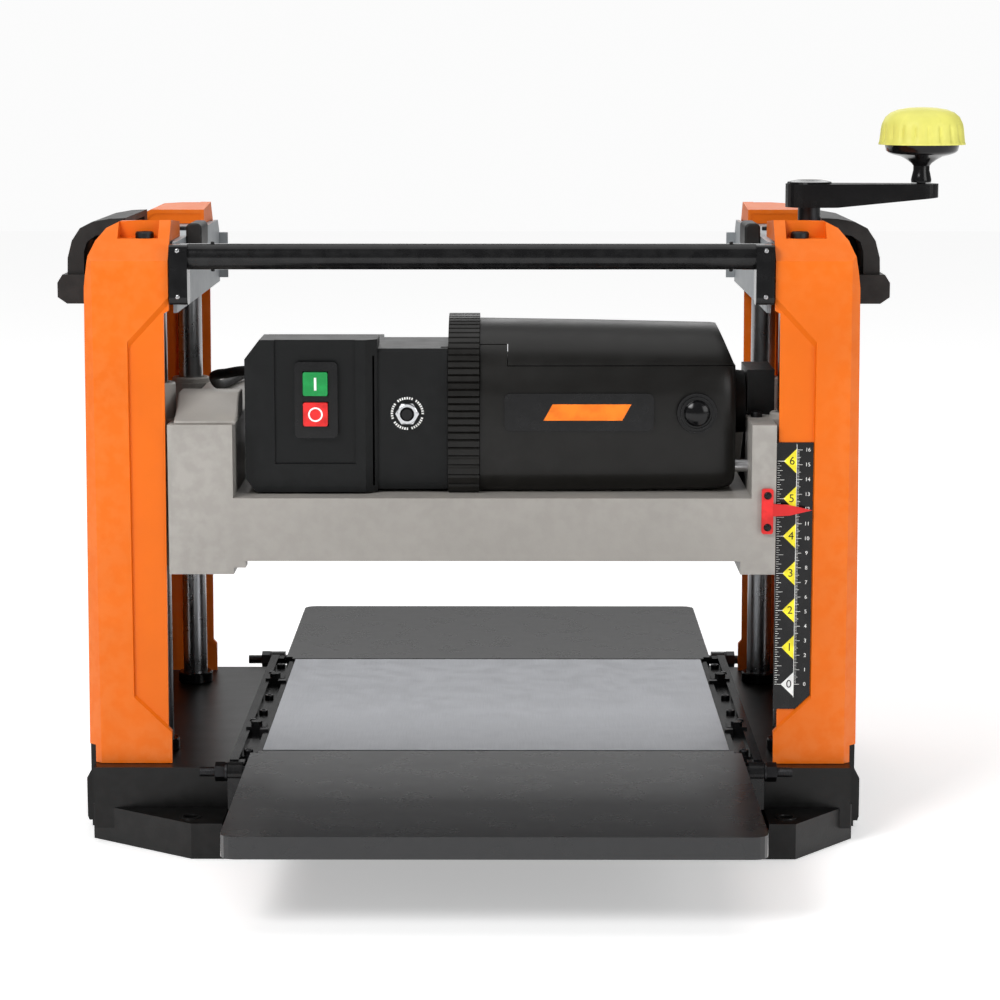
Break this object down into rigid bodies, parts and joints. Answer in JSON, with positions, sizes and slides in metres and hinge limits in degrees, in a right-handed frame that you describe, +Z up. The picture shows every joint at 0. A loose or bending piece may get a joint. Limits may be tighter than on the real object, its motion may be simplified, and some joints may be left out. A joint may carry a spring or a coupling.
{
  "type": "thickness planer",
  "caption": "Bench thickness planer: crank-raised cutter head with motor on four posts between two columns, steel bed and folding infeed and outfeed tables.",
  "frame": {"origin": "centre of the base's underside, on the bench", "axes": "+X towards the crank side, +Y away from the operator along the feed direction, +Z up"},
  "size_m": [0.6273, 0.742, 0.4925],
  "materials": {
    "cast_black": "semi-gloss black enamel",
    "polished_steel": "ground bright",
    "black_steel": "gloss black",
    "black_bolt": "blackened",
    "chrome": "polished",
    "orange": "satin orange",
    "grey_plate": "light grey",
    "head_grey": "warm light grey",
    "black_plastic": "fine texture",
    "scale_print": "printed scale",
    "red_plastic": "glossy",
    "green_plastic": "glossy",
    "rubber": "dull",
    "dark_steel": "oiled",
    "table_steel": "dark coated, faint brushing",
    "lime_plastic": "pale yellow-green"
  },
  "bodies": {
    "frame": {"base": "cast_black", "bed_plate": "polished_steel", "side_rail_left": "black_steel", "side_rail_right": "black_steel", "crossbar": "black_steel", "hinge_bolt_infeed_left": "black_bolt", "hinge_bolt_infeed_right": "black_bolt", "hinge_bolt_outfeed_left": "black_bolt", "hinge_bolt_outfeed_right": "black_bolt", "guide_post_front_left": "chrome", "guide_post_front_right": "chrome", "guide_post_rear_left": "chrome", "guide_post_rear_right": "chrome", "column_cover_front_left": "orange", "column_cover_front_right": "orange", "column_cover_rear_left": "orange", "column_cover_rear_right": "orange", "top_frame_left": "grey_plate", "top_frame_right": "grey_plate", "side_panel_left": "black_plastic", "side_panel_right": "black_plastic", "carry_handle_left": "black_plastic", "carry_handle_right": "black_plastic", "crossbar_bracket_left": "black_plastic", "crossbar_bracket_right": "black_plastic", "depth_scale": "scale_print", "lift_chain": "dark_steel"},
    "head": {"head_casting": "head_grey", "gear_cover": "black_plastic", "belt_cover": "black_plastic", "motor_upper_shell": "black_plastic", "motor_lower_shell": "black_plastic", "motor_collar": "black_plastic", "switch_housing": "black_plastic", "switch_bezel": "black_plastic", "breaker_bezel": "chrome", "brush_cap": "black_plastic", "label_plate": "black_plastic", "depth_pointer": "red_plastic", "dust_hood": "black_plastic", "power_cable": "rubber", "roller_chain": "dark_steel", "drive_belt": "rubber"},
    "on_button": {"on_button": "green_plastic"},
    "off_button": {"off_button": "red_plastic"},
    "reset_button": {"reset_button": "black_plastic"},
    "cutter": {"cutterhead": "dark_steel", "cutter_knife_lower": "polished_steel", "cutter_knife_upper": "polished_steel"},
    "rotor": {"motor_rotor": "dark_steel"},
    "gear": {"reduction_gear": "dark_steel"},
    "infeed_roller": {"infeed_roller": "rubber"},
    "outfeed_roller": {"outfeed_roller": "rubber"},
    "pawls": {"kickback_pawls": "dark_steel"},
    "crank": {"crank_arm": "black_steel", "leadscrew_right": "polished_steel"},
    "knob": {"crank_knob": "lime_plastic"},
    "screw_left": {"leadscrew_left": "polished_steel"},
    "infeed_table": {"infeed_table": "table_steel"},
    "outfeed_table": {"outfeed_table": "table_steel"}
  },
  "joints": [
    {"name": "crank_turn", "type": "hinge", "parent": "frame", "child": "crank", "pos_m": [0.232, -0.06, 0.43], "axis": [0, 0, 1], "range_deg": [-5950, 20890]},
    {"name": "head_lift", "type": "slide", "parent": "frame", "child": "head", "axis": [0, 0, 1], "range_m": [-0.116, 0.033]},
    {"name": "screw_left_turn", "type": "hinge", "parent": "frame", "child": "screw_left", "pos_m": [-0.232, -0.06, 0.2], "axis": [0, 0, 1], "range_deg": [-5950, 20890]},
    {"name": "knob_spin", "type": "hinge", "parent": "crank", "child": "knob", "pos_m": [0.309, -0.06, 0.46], "axis": [0, 0, 1], "continuous": true},
    {"name": "cutter_spin", "type": "hinge", "parent": "head", "child": "cutter", "pos_m": [0, 0, 0.205], "axis": [1, 0, 0], "continuous": true},
    {"name": "rotor_spin", "type": "hinge", "parent": "head", "child": "rotor", "pos_m": [0, -0.076, 0.291], "axis": [1, 0, 0], "continuous": true},
    {"name": "gear_spin", "type": "hinge", "parent": "head", "child": "gear", "pos_m": [0, 0, 0.2425], "axis": [1, 0, 0], "continuous": true},
    {"name": "infeed_roller_spin", "type": "hinge", "parent": "head", "child": "infeed_roller", "pos_m": [0, -0.048, 0.1948], "axis": [1, 0, 0], "continuous": true},
    {"name": "outfeed_roller_spin", "type": "hinge", "parent": "head", "child": "outfeed_roller", "pos_m": [0, 0.048, 0.1948], "axis": [1, 0, 0], "continuous": true},
    {"name": "pawls_swing", "type": "hinge", "parent": "head", "child": "pawls", "pos_m": [0, -0.105, 0.214], "axis": [1, 0, 0], "range_deg": [0, 50]},
    {"name": "on_button_push", "type": "slide", "parent": "head", "child": "on_button", "axis": [0, 1, 0], "range_m": [0, 0.003]},
    {"name": "off_button_push", "type": "slide", "parent": "head", "child": "off_button", "axis": [0, 1, 0], "range_m": [0, 0.003]},
    {"name": "reset_button_push", "type": "slide", "parent": "head", "child": "reset_button", "axis": [0, 1, 0], "range_m": [0, 0.002]},
    {"name": "infeed_fold", "type": "hinge", "parent": "frame", "child": "infeed_table", "pos_m": [0, -0.182, 0.054], "axis": [-1, 0, 0], "range_deg": [0, 90]},
    {"name": "outfeed_fold", "type": "hinge", "parent": "frame", "child": "outfeed_table", "pos_m": [0, 0.182, 0.054], "axis": [1, 0, 0], "range_deg": [0, 90]}
  ],
  "couplings": [
    {"joint": "crank_turn", "follows": "head_lift", "rad_per_m": -3141.6},
    {"joint": "screw_left_turn", "follows": "head_lift", "rad_per_m": -3141.6},
    {"joint": "rotor_spin", "follows": "cutter_spin", "ratio": 1.3333},
    {"joint": "gear_spin", "follows": "cutter_spin", "ratio": -0.25},
    {"joint": "infeed_roller_spin", "follows": "cutter_spin", "ratio": -0.25},
    {"joint": "outfeed_roller_spin", "follows": "cutter_spin", "ratio": -0.25}
  ]
}
